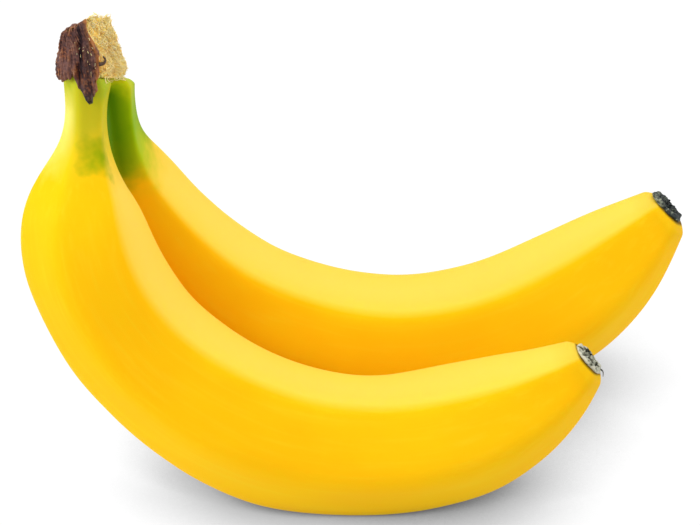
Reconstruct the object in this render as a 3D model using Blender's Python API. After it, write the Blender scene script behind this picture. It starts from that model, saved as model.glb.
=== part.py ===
"""A joined pair of ripe bananas that stands on its curved backs, as six closed solids in metres.

Both fruits are tubes with five soft ridges, swept along a curved middle line. They hang together
at the crown, a wedge of pale torn pith with dried brown rind round it. Each fruit ends in a small
dried cup, where the flower was.
"""

import bmesh
import bpy
import numpy as np
from mathutils import Vector, noise

MM = 0.001
GAP = 0.3

# Middle lines from the neck to the tip, in mm: x, y, z, radius, and the turn of the ridges in degrees
FRONT_SPINE = (
    (-67.0, 20.0, 116.6, 6.3, 24),
    (-68.8, 17.5, 96.2, 7.1, 24),
    (-69.8, 13.5, 84.6, 13.2, 24),
    (-66.4, 9.0, 64.8, 17.2, 20),
    (-53.6, 5.5, 42.3, 18.1, 11),
    (-38.0, 2.5, 28.8, 18.9, 4),
    (-16.1, 0.5, 18.8, 18.9, 0),
    (8.1, 0.0, 16.7, 18.3, 0),
    (27.5, 0.6, 20.6, 17.7, 3),
    (47.1, 2.0, 30.3, 12.8, 9),
    (55.4, 3.4, 36.4, 8.8, 15),
    (60.1, 4.1, 40.5, 6.1, 20),
)
REAR_SPINE = (
    (-61.0, 29.5, 110.4, 5.4, 17),
    (-60.3, 33.5, 90.2, 5.6, 17),
    (-58.4, 38.5, 75.6, 9.8, 16),
    (-49.4, 42.5, 53.6, 14.5, 10),
    (-32.7, 45.5, 32.2, 17.8, 3),
    (-9.7, 46.5, 19.4, 19.0, 0),
    (14.0, 46.0, 16.6, 19.2, 0),
    (39.1, 49.0, 20.4, 18.9, 1),
    (60.5, 53.6, 29.9, 17.8, 4),
    (75.9, 58.0, 42.2, 12.2, 8),
    (84.8, 60.2, 50.8, 7.0, 10),
)

# Where the five ridges stand round a section, in degrees from the hollow of the bend
FRONT_RIDGES = (26, 85, 150, 222, 300)
REAR_RIDGES = (34, 95, 155, 222, 300)
RIDGE_REACH = 1.13
RIDGE_SOFTNESS = 8
FRUIT_SIDES = 26
FRUIT_RINGS = 58
CROWDING = 0.75
# Both ends of a fruit are rounded: by this share of the radius, over this length
END_DIP = 0.26
END_LENGTH = 2.4

# The underside sags onto the table: extra radius at this angle, round this x of the middle line
SAG = 3.6
SAG_ANGLE = 197
SAG_SPREAD = 38
SAG_LENGTH = 14
FRONT_SAG_X = -24
REAR_SAG_X = -20

# Crown: how its level sections change with height, in mm: z, middle x, middle y, half length, half width
CROWN_SECTIONS = (
    (104.0, -64.9, 23.1, 11.5, 7.5),
    (113.0, -64.9, 23.1, 11.5, 7.5),
    (117.0, -65.8, 23.1, 10.8, 7.2),
    (122.0, -66.4, 23.4, 9.1, 5.6),
    (127.0, -66.9, 23.5, 7.9, 4.2),
    (131.0, -67.0, 23.8, 8.4, 1.8),
    (134.0, -67.0, 24.0, 8.2, 1.5),
)
CROWN_SQUARENESS = 2.5
CROWN_THINNEST = 0.7
# The left side is drawn in by this much, round this angle
LEFT_TUCK = 0.7
LEFT_ANGLE = 218
LEFT_SPREAD = 34
# Height of the torn top between the necks, how it falls towards the rear fruit, and towards the back
CROWN_TOP = 129.8
TOP_SLOPE = 0.22
TOP_LEAN = 0.68
NECK_SLOPE = 0.55
SHEAR_LENGTH = 9.0

RIND_THICKNESS = 1.4
RIND_BUMP = 0.5
RIND_RAGGED = 1.4
RIND_AROUND = 38
RIND_UP = 10
# Edges of the rind: angle round the crown in degrees and the height of its lower edge in mm
RIND_LOWER_EDGE = (
    (104, 117.5),
    (127, 116.4),
    (138, 114.8),
    (148, 112.4),
    (154, 115.2),
    (161, 117.2),
    (168, 119.0),
    (172, 120.2),
    (178, 119.2),
    (188, 117.7),
    (202, 117.6),
    (224, 116.6),
    (238, 117.6),
    (262, 117.4),
    (290, 115.2),
    (318, 113.4),
    (340, 113.8),
)
# Share of the height and the angles where the rind starts and stops there
RIND_START = (
    (0.0, 128), (0.12, 127), (0.2, 117), (0.34, 113),
    (0.5, 106), (0.6, 110), (0.8, 112), (1.0, 106),
)
RIND_STOP = ((0.0, 318), (0.3, 326), (0.6, 316), (1.0, 328))

PITH_AROUND = 34
PITH_UP = 13
PITH_FOOT = 113.5
PITH_INSET = 0.5
PITH_RISE = 0.6
FOOT_TUCK = 1.2
TORN_TUCK = 2.0
TORN_BUMP = 1.5
TORN_RAGGED = 1.3
COVERED_DROP = 0.8
TORN_INSET = 0.9
# A low peak of the pith beside the rind's edge: its height, and its middle and half width in degrees
PEAK = 2.0
PEAK_ANGLE = 95
PEAK_SPREAD = 15
TORN_FROM = -15
TORN_TO = 128

CUP_SIDES = 22
# Profile of the dried cups: share of the radius and share of the height, from the fruit to the hollow
CUP_PROFILE = ((0.80, 0.0), (1.0, 0.22), (1.03, 0.55), (0.93, 0.92), (0.78, 1.0), (0.62, 0.78), (0.34, 0.5))
CUP_DIP = -0.1
CUP_WAVE = 0.45
CUP_CRUMPLE = 0.16
# Radius and height in mm, and where its crumples are read from
FRONT_CUP = (4.7, 1.2, 1)
REAR_CUP = (5.5, 1.6, 9)

# What moves the box of the finished pair onto the origin
BOX_SHIFT = (-2.18, -25.26)

PEEL_YELLOW = (0.95, 0.62, 0.02)
RIND_BROWN = (0.075, 0.028, 0.016)
PITH_CREAM = (0.84, 0.58, 0.24)
CUP_GREY = (0.42, 0.41, 0.33)
CUP_DARK = (0.035, 0.045, 0.035)


def clear_scene():
    for item in list(bpy.data.objects):
        bpy.data.objects.remove(item, do_unlink=True)


def material(name, colour, roughness):
    made = bpy.data.materials.new(name)
    made.use_nodes = True
    shader = made.node_tree.nodes["Principled BSDF"]
    shader.inputs["Base Color"].default_value = (*colour, 1)
    shader.inputs["Roughness"].default_value = roughness
    shader.inputs["Metallic"].default_value = 0
    return made


def smooth_rows(rows, count):
    """Rows read along the natural cubic through the given ones, closer together towards both ends."""
    rows = np.array(rows, float)
    steps = np.linalg.norm(np.diff(rows[:, :3], axis=0), axis=1)
    places = np.concatenate([[0], np.cumsum(steps)])
    system = np.eye(len(rows))
    right = np.zeros(rows.shape)
    for i in range(1, len(rows) - 1):
        system[i, i - 1 : i + 2] = steps[i - 1], 2 * (steps[i - 1] + steps[i]), steps[i]
        right[i] = 6 * ((rows[i + 1] - rows[i]) / steps[i] - (rows[i] - rows[i - 1]) / steps[i - 1])
    bends = np.linalg.solve(system, right)
    share = np.linspace(0, 1, count)
    read = places[-1] * (share - CROWDING * np.sin(2 * np.pi * share) / (2 * np.pi))
    span = np.clip(np.searchsorted(places, read, side="right") - 1, 0, len(steps) - 1)
    length = steps[span][:, None]
    before = (places[span + 1] - read)[:, None]
    after = (read - places[span])[:, None]
    low, high = bends[span], bends[span + 1]
    curve = (low * before**3 + high * after**3) / (6 * length)
    line = (rows[span] / length - low * length / 6) * before
    line += (rows[span + 1] / length - high * length / 6) * after
    return curve + line


def ridged_section(angles, ridges):
    """Radius share at these angles, in degrees, of a five sided section with soft ridges."""
    corners = np.array([*ridges, ridges[0] + 360.0])
    middles = (corners[1:] + corners[:-1]) / 2
    halves = (corners[1:] - corners[:-1]) / 2
    total = np.zeros(len(angles))
    for middle, half in zip(middles, halves):
        facing = np.maximum(0, np.cos(np.radians(angles - middle)))
        total += (facing / (RIDGE_REACH * np.cos(np.radians(half)))) ** RIDGE_SOFTNESS
    return total ** (-1 / RIDGE_SOFTNESS)


def row_frame():
    """Middle between the neck ends, the way from the front neck to the rear one, and the way across."""
    front, rear = np.array(FRONT_SPINE[0][:2]), np.array(REAR_SPINE[0][:2])
    along = (rear - front) / np.linalg.norm(rear - front)
    return (front + rear) / 2, along, np.array([along[1], -along[0]])


def neck_end_height(x, y):
    """Height of the slanted plane that both necks end on."""
    middle, along, _ = row_frame()
    level = (FRONT_SPINE[0][2] + REAR_SPINE[0][2]) / 2
    return level - NECK_SLOPE * ((x - middle[0]) * along[0] + (y - middle[1]) * along[1])


def fruit_rings(spine, ridges, sag_x):
    """Points of every ring of a fruit, from the neck to the tip."""
    rows = smooth_rows(spine, FRUIT_RINGS)
    centres = rows[:, :3]
    ways = np.gradient(centres, axis=0)
    ways /= np.linalg.norm(ways, axis=1)[:, None]
    turns = np.arange(FRUIT_SIDES) * 360 / FRUIT_SIDES
    along = np.concatenate([[0], np.cumsum(np.linalg.norm(np.diff(centres, axis=0), axis=1))])
    to_end = np.minimum(along, along[-1] - along)
    roundings = 1 - END_DIP * np.maximum(0, 1 - to_end / END_LENGTH) ** 2
    rings = []
    for centre, way, row, rounding in zip(centres, ways, rows, roundings):
        side = np.array([0.0, -1.0, 0.0])
        side -= way * (side @ way)
        side /= np.linalg.norm(side)
        hollow = np.cross(side, way)
        angles = np.radians(turns + row[4])
        radii = row[3] * rounding * ridged_section(turns, ridges)
        off = np.abs((turns + row[4] - SAG_ANGLE + 180) % 360 - 180)
        radii += SAG * np.exp(-((off / SAG_SPREAD) ** 2) - ((centre[0] - sag_x) / SAG_LENGTH) ** 2)
        ring = centre + radii[:, None] * (np.cos(angles)[:, None] * hollow + np.sin(angles)[:, None] * side)
        lean = max(0.0, 1 - (spine[0][2] - centre[2]) / SHEAR_LENGTH)
        slanted = centre[2] + neck_end_height(ring[:, 0], ring[:, 1]) - neck_end_height(centre[0], centre[1])
        ring[:, 2] += lean * (slanted - ring[:, 2])
        ring[:, 2] = np.maximum(ring[:, 2], 0)
        rings.append(ring)
    return rings


def add_ring(mesh, points):
    """A circle whose corners are moved to these points."""
    corners = bmesh.ops.create_circle(mesh, segments=len(points), radius=1)["verts"]
    for corner, point in zip(corners, points):
        corner.co = Vector(point)
    return corners


def ring_edges(corners):
    return list({edge for corner in corners for edge in corner.link_edges if len(edge.link_faces) < 2})


def closed_loft(rings, poke_last=0.0):
    """A closed solid through rings of points. A poke height raises the last end to a point by that much."""
    mesh = bmesh.new()
    loops = [add_ring(mesh, ring) for ring in rings]
    edges = [ring_edges(loop) for loop in loops]
    for low, high in zip(edges, edges[1:]):
        bmesh.ops.bridge_loops(mesh, edges=low + high)
    bmesh.ops.holes_fill(mesh, edges=mesh.edges[:], sides=0)
    bmesh.ops.recalc_face_normals(mesh, faces=mesh.faces[:])
    ends = [face for face in mesh.faces if len(face.verts) > 4 and set(face.verts) == set(loops[-1])]
    if poke_last:
        bmesh.ops.poke(mesh, faces=ends, offset=poke_last)
    # A very ragged solid can come out of the recalculation inside out
    if mesh.calc_volume(signed=True) < 0:
        bmesh.ops.reverse_faces(mesh, faces=mesh.faces[:])
    return mesh


def crown_outline(angle, height, grow):
    """Point of the crown's level section at an angle round it, in degrees, grown by so many mm."""
    table = np.array(CROWN_SECTIONS)
    x, y, length, width = (np.interp(height, table[:, 0], table[:, i]) for i in range(1, 5))
    _, along, across = row_frame()
    cosine, sine = np.cos(np.radians(angle)), np.sin(np.radians(angle))
    power = 2 / CROWN_SQUARENESS
    grow -= LEFT_TUCK * np.exp(-(((angle % 360 - LEFT_ANGLE) / LEFT_SPREAD) ** 2))
    ahead = np.sign(cosine) * abs(cosine) ** power * max(CROWN_THINNEST, length + grow)
    aside = np.sign(sine) * abs(sine) ** power * max(CROWN_THINNEST, width + grow)
    flat = np.array([x, y]) + ahead * along + aside * across
    return np.array([flat[0], flat[1], height])


def crown_top(angle):
    """Height of the slanted top at an angle round the crown."""
    middle, along, across = row_frame()
    spot = crown_outline(angle, CROWN_TOP, 0)[:2] - middle
    return CROWN_TOP - TOP_SLOPE * float(spot @ along) + TOP_LEAN * float(spot @ across)


def roughness_at(point, size, depth):
    """A bump that changes over this size, up to this depth, both in mm."""
    return depth * noise.noise(Vector(point) / size)


def rind_point(share, lift, grow):
    """Point of the rind at a share of the way round and of the way up, grown out from the crown."""
    start = np.interp(lift, *np.transpose(RIND_START))
    stop = np.interp(lift, *np.transpose(RIND_STOP))
    angle = start + share * (stop - start)
    low = np.interp(angle, *np.transpose(RIND_LOWER_EDGE))
    top = crown_top(angle) + roughness_at((angle / 12, 3, 5), 1.0, RIND_RAGGED)
    height = low + lift * (top - low)
    bump = roughness_at(crown_outline(angle, height, 0), 2.6, RIND_BUMP) if grow else 0
    return crown_outline(angle, height, grow + bump)


def make_rind():
    """A bent plate: a grid laid on the crown's outline, extruded inwards to its thickness."""
    mesh = bmesh.new()
    grid = bmesh.ops.create_grid(mesh, x_segments=RIND_AROUND, y_segments=RIND_UP, size=0.5)["verts"]
    outside = [(corner, corner.co.x + 0.5, corner.co.y + 0.5) for corner in grid]
    made = bmesh.ops.extrude_face_region(mesh, geom=mesh.faces[:])["geom"]
    inside = [item for item in made if isinstance(item, bmesh.types.BMVert)]
    for corner in inside:
        corner.co = Vector(rind_point(corner.co.x + 0.5, corner.co.y + 0.5, 0))
    for corner, share, lift in outside:
        corner.co = Vector(rind_point(share, lift, RIND_THICKNESS))
    bmesh.ops.recalc_face_normals(mesh, faces=mesh.faces[:])
    return mesh


def pith_rings():
    """Level rings of the pith, from the slanted neck ends to the ragged top, rough where it is torn."""
    rings = []
    for lift in np.linspace(0, 1, PITH_UP):
        ring = []
        for angle in np.arange(PITH_AROUND) * 360 / PITH_AROUND:
            turned = min((angle - TORN_FROM) % 360, TORN_TO - TORN_FROM)
            torn = np.sin(np.pi * turned / (TORN_TO - TORN_FROM))
            top = crown_top(angle) - PITH_INSET - COVERED_DROP * (1 - torn)
            top += torn * roughness_at((angle / 9, 1, 2), 1.0, TORN_RAGGED)
            top += PEAK * np.exp(-(((angle - PEAK_ANGLE) / PEAK_SPREAD) ** 2))
            tuck = FOOT_TUCK * max(0, 1 - lift / 0.2) + TORN_TUCK * torn * (1 - lift)
            inset = GAP + TORN_INSET * (1 - lift**3)
            bump = torn * (roughness_at((angle / 7, lift * 3.5, 7), 1.0, TORN_BUMP) - inset)
            height = PITH_FOOT
            for _ in range(3):
                point = crown_outline(angle, height, bump - tuck - PITH_INSET)
                low = neck_end_height(point[0], point[1]) + GAP
                height = low + lift * (top - low)
            ring.append(np.array([point[0], point[1], height]))
        rings.append(np.array(ring))
    return rings


def cup_rings(spine, radius, height, seed):
    """Rings of a dried cup on the end of a fruit, wavy and a little crumpled."""
    rows = smooth_rows(spine, FRUIT_RINGS)
    end, way = rows[-1, :3], rows[-1, :3] - rows[-2, :3]
    way /= np.linalg.norm(way)
    side = np.array([0.0, -1.0, 0.0])
    side -= way * (side @ way)
    side /= np.linalg.norm(side)
    hollow = np.cross(side, way)
    rings = []
    for share, rise in CUP_PROFILE:
        ring = []
        for angle in np.radians(np.arange(CUP_SIDES) * 360 / CUP_SIDES):
            around = np.cos(angle) * hollow + np.sin(angle) * side
            wave = roughness_at((np.cos(angle) * 1.6 + seed, np.sin(angle) * 1.6, rise), 1.0, 1.0)
            out = radius * share * (1 + CUP_CRUMPLE * wave * min(1, 3 * rise))
            up = GAP + height * rise * (1 + CUP_WAVE * wave)
            ring.append(end + way * up + around * out)
        rings.append(np.array(ring))
    return rings


def finish(mesh, name, colour, roughness):
    """Shifts the mesh onto the origin, in metres, and links it as an object with its own material."""
    for corner in mesh.verts:
        corner.co = (corner.co + Vector((*BOX_SHIFT, 0))) * MM
    for face in mesh.faces:
        face.smooth = len(face.verts) <= 4
    data = bpy.data.meshes.new(name)
    mesh.to_mesh(data)
    mesh.free()
    made = bpy.data.objects.new(name, data)
    bpy.context.collection.objects.link(made)
    data.materials.append(material(f"{name}_material", colour, roughness))
    return made


def main():
    clear_scene()
    front = closed_loft(fruit_rings(FRONT_SPINE, FRONT_RIDGES, FRONT_SAG_X))
    finish(front, "front_banana", PEEL_YELLOW, 0.42)
    finish(closed_loft(fruit_rings(REAR_SPINE, REAR_RIDGES, REAR_SAG_X)), "rear_banana", PEEL_YELLOW, 0.42)
    finish(make_rind(), "crown_rind", RIND_BROWN, 0.75)
    finish(closed_loft(pith_rings(), PITH_RISE), "crown_pith", PITH_CREAM, 0.9)
    finish(closed_loft(cup_rings(FRONT_SPINE, *FRONT_CUP), CUP_DIP), "front_blossom_cup", CUP_GREY, 0.8)
    finish(closed_loft(cup_rings(REAR_SPINE, *REAR_CUP), CUP_DIP), "rear_blossom_cup", CUP_DARK, 0.7)


main()
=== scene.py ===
# %% [markdown]
# # Two bananas that hang together at the crown
# A plain model of the pair is loaded first, as a frame with the right sizes. It has the forms and nothing
# else. This lesson then grows a finer piece over each part of it: smooth ridged fruits, a cracked brown
# rind, torn pale fibres and the dried cups at the tips. Every number is in millimetres until a mesh is
# finished, because a fruit is easier to think about in millimetres than in metres.

# %% Open the plain model
import math
import random

import bmesh
import bpy
import numpy as np
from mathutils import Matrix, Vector, noise


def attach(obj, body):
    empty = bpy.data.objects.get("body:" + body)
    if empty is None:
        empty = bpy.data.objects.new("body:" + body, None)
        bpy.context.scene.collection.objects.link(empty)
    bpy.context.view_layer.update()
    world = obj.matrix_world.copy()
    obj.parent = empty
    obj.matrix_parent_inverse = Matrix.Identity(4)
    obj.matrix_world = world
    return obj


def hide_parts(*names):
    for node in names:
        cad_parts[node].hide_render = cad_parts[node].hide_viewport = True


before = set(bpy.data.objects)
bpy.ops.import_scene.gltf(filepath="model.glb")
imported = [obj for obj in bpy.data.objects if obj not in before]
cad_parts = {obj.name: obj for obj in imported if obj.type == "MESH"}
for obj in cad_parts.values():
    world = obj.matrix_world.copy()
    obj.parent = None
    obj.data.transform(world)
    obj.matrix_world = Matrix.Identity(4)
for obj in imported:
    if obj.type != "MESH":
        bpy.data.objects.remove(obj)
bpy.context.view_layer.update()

MM = 0.001

# %% [markdown]
# ## The camera
# The pair was looked at from in front and from 34 degrees above the level, through a long lens, so that
# near and far things come out at almost the same size. A long lens needs a large distance: here 80 cm for
# a fruit of 17 cm. The picture's middle is a little above the fruits' own, so the camera isn't aimed at
# anything. It is just turned down by the right angle and put in its place.

# %% Place the camera
LOOK_DOWN = 34
CAMERA_PLACE = (-3.98, -661.65, 502.8)
LENS, SENSOR_WIDTH = 156.34, 36

eye = bpy.data.objects.new("camera", bpy.data.cameras.new("camera"))
eye.data.lens, eye.data.sensor_width = LENS, SENSOR_WIDTH
eye.location = Vector(CAMERA_PLACE) * MM
eye.rotation_euler = (math.radians(90 - LOOK_DOWN), 0, 0)
bpy.context.scene.collection.objects.link(eye)
bpy.context.scene.camera = eye
print("camera at", CAMERA_PLACE, "mm")

# %% [markdown]
# ## Nodes in a few words
# A material is a small machine of nodes. Setting one up by hand takes four lines for each node, so a helper
# makes a node, sets its values and wires its inputs in one call. A value that is a socket is wired, and any
# other value is written into the input.

# %% Helpers for materials
def node(tree, kind, inputs=None, **settings):
    made = tree.nodes.new(f"ShaderNode{kind}")
    for name, value in settings.items():
        setattr(made, name, value)
    for name, value in (inputs or {}).items():
        if isinstance(value, bpy.types.NodeSocket):
            tree.links.new(value, made.inputs[name])
        else:
            made.inputs[name].default_value = value
    return made


def new_material(name, **values):
    made = bpy.data.materials.new(name)
    made.use_nodes = True
    shader = made.node_tree.nodes["Principled BSDF"]
    for socket, value in values.items():
        shader.inputs[socket.replace("_", " ")].default_value = value
    return made, made.node_tree, shader


def ramp(tree, factor, stops):
    """A colour ramp with stops of place and colour, or place and grey."""
    made = node(tree, "ValToRGB", {"Fac": factor})
    line = made.color_ramp.elements
    while len(line) < len(stops):
        line.new(0.5)
    for element, (place, colour) in zip(line, stops):
        element.position = place
        element.color = (*colour, 1) if isinstance(colour, tuple) else (colour, colour, colour, 1)
    return made.outputs["Color"]


def blend(tree, factor, first, second):
    """The first colour where the factor is zero, the second where it is one."""
    made = tree.nodes.new("ShaderNodeMix")
    made.data_type = "RGBA"
    for place, value in ((0, factor), (6, first), (7, second)):
        if isinstance(value, bpy.types.NodeSocket):
            tree.links.new(value, made.inputs[place])
        else:
            made.inputs[place].default_value = (*value, 1) if isinstance(value, tuple) else value
    return made.outputs[2]


def calculate(tree, operation, first, second):
    return node(tree, "Math", {0: first, 1: second}, operation=operation).outputs[0]


def add_shares(tree, first, first_share, second, second_share):
    """The sum of two values, each times its share."""
    first = calculate(tree, "MULTIPLY", first, first_share)
    return calculate(tree, "ADD", first, calculate(tree, "MULTIPLY", second, second_share))


def measure(tree, operation, first, second):
    """One number from two vectors, such as how far apart they are."""
    return node(tree, "VectorMath", {0: first, 1: second}, operation=operation).outputs["Value"]


def stored(tree, name):
    """The number that the mesh keeps under this name."""
    return node(tree, "Attribute", attribute_name=name).outputs["Fac"]


def sticking_out(tree, strength):
    """Above zero on ridges and below it in creases. Pointiness itself is a half where all is flat."""
    pointiness = node(tree, "NewGeometry").outputs["Pointiness"]
    return calculate(tree, "MULTIPLY", calculate(tree, "SUBTRACT", pointiness, 0.5), strength)


def grain(tree, place, size_mm, detail=3.0, roughness=0.55, stretch=(1, 1, 1)):
    """Noise with bumps of about this size, stretched where the factors are below one."""
    moved = node(tree, "Mapping", {"Vector": place, "Scale": stretch})
    values = {"Vector": moved.outputs[0], "Scale": 1 / (size_mm * MM)}
    values.update({"Detail": detail, "Roughness": roughness})
    return node(tree, "TexNoise", values).outputs["Fac"]


def bump(tree, shader, height, depth_mm, strength):
    made = node(tree, "Bump", {"Height": height, "Distance": depth_mm * MM, "Strength": strength})
    tree.links.new(made.outputs[0], shader.inputs["Normal"])


print("material helpers are ready")

# %% [markdown]
# ## Growing a tube
# Fruits, pith and cups are all tubes: closed rings, one after another. They could be lofted between curves,
# or a cylinder could be bent with a modifier. Here a circle is extruded ring by ring, and each new ring is
# put straight into its place, because then any ring can have any size, turn and outline. Each corner keeps
# its share of the way round in a layer of its own, which the extrusion copies, so the order of the corners
# never matters.

# %% Helpers for meshes
def pick(items, kind):
    """The parts of one kind: corners, edges or faces."""
    return [item for item in items if isinstance(item, kind)]


def grow_tube(sides, rings, place_ring, numbers=(), vectors=()):
    """A tube through rings. place_ring takes a ring's number and the corners' shares of the way round."""
    shape = bmesh.new()
    for name in (*numbers, "around"):
        shape.verts.layers.float.new(name)
    for name in vectors:
        shape.verts.layers.float_vector.new(name)
    around = shape.verts.layers.float["around"]
    corners = bmesh.ops.create_circle(shape, segments=sides, radius=1)["verts"]
    for number, corner in enumerate(corners):
        corner[around] = number / sides
    edges = shape.edges[:]
    for ring in range(rings):
        if ring:
            grown = bmesh.ops.extrude_edge_only(shape, edges=edges)["geom"]
            corners, edges = pick(grown, bmesh.types.BMVert), pick(grown, bmesh.types.BMEdge)
        place_ring(shape, ring, corners, np.array([corner[around] for corner in corners]))
    return shape


def close_ends(shape):
    """Caps both open ends, with a fan of faces round a middle corner, and points all faces outwards."""
    open_edges = [edge for edge in shape.edges if edge.is_boundary]
    capped = bmesh.ops.holes_fill(shape, edges=open_edges, sides=0)["faces"]
    bmesh.ops.poke(shape, faces=capped)
    bmesh.ops.recalc_face_normals(shape, faces=shape.faces[:])
    if shape.calc_volume(signed=True) < 0:
        bmesh.ops.reverse_faces(shape, faces=shape.faces[:])


def finish_piece(shape, name, material, stands_for):
    """Brings a mesh from millimetres to metres and hands it over as a finished piece."""
    bmesh.ops.scale(shape, vec=(MM, MM, MM), verts=shape.verts[:])
    data = bpy.data.meshes.new(name)
    shape.to_mesh(data)
    shape.free()
    data.shade_smooth()
    data.materials.append(material)
    piece = bpy.data.objects.new(name, data)
    bpy.context.scene.collection.objects.link(piece)
    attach(piece, "root")
    for plain in stands_for:
        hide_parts(plain)
    print(f"{name}: {len(data.polygons)} faces")


def wave(point, size, depth):
    """A bump that changes over this size, up to about this depth, both in mm."""
    return depth * noise.noise(Vector(point) / size)


print("mesh helpers are ready")

# %% [markdown]
# ## The middle lines of the fruits
# A banana is a bent tube, so its form is a middle line with a radius at each place. These rows are read off
# the photograph: x, y, z, the radius, and how far the ridges are turned there. A smooth curve through them,
# the natural cubic, is what a thin springy strip would do if it were held at those places.

# %% The rows, and the smooth curve through them
SHIFT = np.array([-2.18, -25.26, 0.0])
CROWDING = 0.75
END_DIP, END_LENGTH = 0.26, 2.4
FRONT_LINE = (
    (-67.0, 20.0, 116.6, 6.3, 24),
    (-68.8, 17.5, 96.2, 7.1, 24),
    (-69.8, 13.5, 84.6, 13.2, 24),
    (-66.4, 9.0, 64.8, 17.2, 20),
    (-53.6, 5.5, 42.3, 18.1, 11),
    (-38.0, 2.5, 28.8, 18.9, 4),
    (-16.1, 0.5, 18.8, 18.9, 0),
    (8.1, 0.0, 16.7, 18.3, 0),
    (27.5, 0.6, 20.6, 17.7, 3),
    (47.1, 2.0, 30.3, 12.8, 9),
    (55.4, 3.4, 36.4, 8.8, 15),
    (60.1, 4.1, 40.5, 6.1, 20),
)
REAR_LINE = (
    (-61.0, 29.5, 110.4, 5.4, 17),
    (-60.3, 33.5, 90.2, 5.6, 17),
    (-58.4, 38.5, 75.6, 9.8, 16),
    (-49.4, 42.5, 53.6, 14.5, 10),
    (-32.7, 45.5, 32.2, 17.8, 3),
    (-9.7, 46.5, 19.4, 19.0, 0),
    (14.0, 46.0, 16.6, 19.2, 0),
    (39.1, 49.0, 20.4, 18.9, 1),
    (60.5, 53.6, 29.9, 17.8, 4),
    (75.9, 58.0, 42.2, 12.2, 8),
    (84.8, 60.2, 50.8, 7.0, 10),
)


def smooth_rows(rows, count):
    """Rows read along the natural cubic through the given ones, closer together towards both ends."""
    rows = np.array(rows, float)
    steps = np.linalg.norm(np.diff(rows[:, :3], axis=0), axis=1)
    places = np.concatenate([[0], np.cumsum(steps)])
    system = np.eye(len(rows))
    right = np.zeros(rows.shape)
    for i in range(1, len(rows) - 1):
        system[i, i - 1 : i + 2] = steps[i - 1], 2 * (steps[i - 1] + steps[i]), steps[i]
        right[i] = 6 * ((rows[i + 1] - rows[i]) / steps[i] - (rows[i] - rows[i - 1]) / steps[i - 1])
    bends = np.linalg.solve(system, right)
    share = np.linspace(0, 1, count)
    read = places[-1] * (share - CROWDING * np.sin(2 * np.pi * share) / (2 * np.pi))
    span = np.clip(np.searchsorted(places, read, side="right") - 1, 0, len(steps) - 1)
    length = steps[span][:, None]
    before = (places[span + 1] - read)[:, None]
    after = (read - places[span])[:, None]
    low, high = bends[span], bends[span + 1]
    curve = (low * before**3 + high * after**3) / (6 * length)
    curve += (rows[span] / length - low * length / 6) * before
    curve += (rows[span + 1] / length - high * length / 6) * after
    return curve


def frame_along(centres):
    """For each place on a line: the way along it, the way to the side, and the way into the bend's hollow."""
    ways = np.gradient(centres, axis=0)
    ways /= np.linalg.norm(ways, axis=1)[:, None]
    sides = np.array([0.0, -1.0, 0.0]) - ways * -ways[:, 1:2]
    sides /= np.linalg.norm(sides, axis=1)[:, None]
    return ways, sides, np.cross(sides, ways)


RINGS = 190
lines = {"front": smooth_rows(FRONT_LINE, RINGS), "rear": smooth_rows(REAR_LINE, RINGS)}
for name, line in lines.items():
    pieces = np.linalg.norm(np.diff(line[:, :3], axis=0), axis=1)
    print(name, "middle line:", round(float(pieces.sum())), "mm")

# %% [markdown]
# ## The outline across a fruit
# Cut across, a banana is a rounded five sided shape. Each side could be a straight line with its corners
# rounded off by a bevel. A softer way is one formula that adds up how squarely each side faces a direction,
# raised to a power: the higher the power, the crisper the ridges. The ridges aren't evenly spread, so each
# fruit has a list of its own, in degrees from the hollow of the bend.

# %% Ridges, the sag of the underside, and the slant of the neck
RIDGES = {"front": (26, 85, 150, 222, 300), "rear": (34, 95, 155, 222, 300)}
RIDGE_REACH = 1.13
RIDGE_SOFTNESS = 9
SAG, SAG_ANGLE, SAG_SPREAD, SAG_LENGTH = 3.6, 197, 38, 14
SAG_X = {"front": -24, "rear": -20}
NECK_SLOPE = 0.55
SHEAR_LENGTH = 9.0

neck_middle = (np.array(FRONT_LINE[0][:2]) + np.array(REAR_LINE[0][:2])) / 2
row_way = np.array(REAR_LINE[0][:2]) - np.array(FRONT_LINE[0][:2])
row_way /= np.linalg.norm(row_way)
cross_way = np.array([row_way[1], -row_way[0]])


def ridged_section(angles, ridges):
    corners = np.array([*ridges, ridges[0] + 360.0])
    total = np.zeros(len(angles))
    for first, second in zip(corners, corners[1:]):
        facing = np.maximum(0, np.cos(np.radians(angles - (first + second) / 2)))
        total += (facing / (RIDGE_REACH * math.cos(math.radians((second - first) / 2)))) ** RIDGE_SOFTNESS
    return total ** (-1 / RIDGE_SOFTNESS)


def neck_end_height(x, y):
    """Height of the slanted cut that both necks end on, under the crown."""
    level = (FRONT_LINE[0][2] + REAR_LINE[0][2]) / 2
    return level - NECK_SLOPE * ((x - neck_middle[0]) * row_way[0] + (y - neck_middle[1]) * row_way[1])


print("ridges at", RIDGES)

# %% [markdown]
# ## Growing the two fruits
# Every ring takes its radius from the line and its outline from the ridges. Three things are then added:
# the underside sags a little where the fruit rests, the neck's last rings lean into the slant of the crown,
# and a faint unevenness takes away the look of a machined part. Nothing may dip below the table, so heights
# stop at zero.
#
# The material will want to know where it is on the fruit, and not where it is in the room. So every corner
# stores its place on a fruit that has been bent straight: streaks then run along the peel by themselves.

# %% Fruit maker
FRUIT_SIDES = 120
UNEVEN_SIZE, UNEVEN_DEPTH = 16.0, 0.35
UNEVEN_FROM_RADIUS = 14


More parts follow.
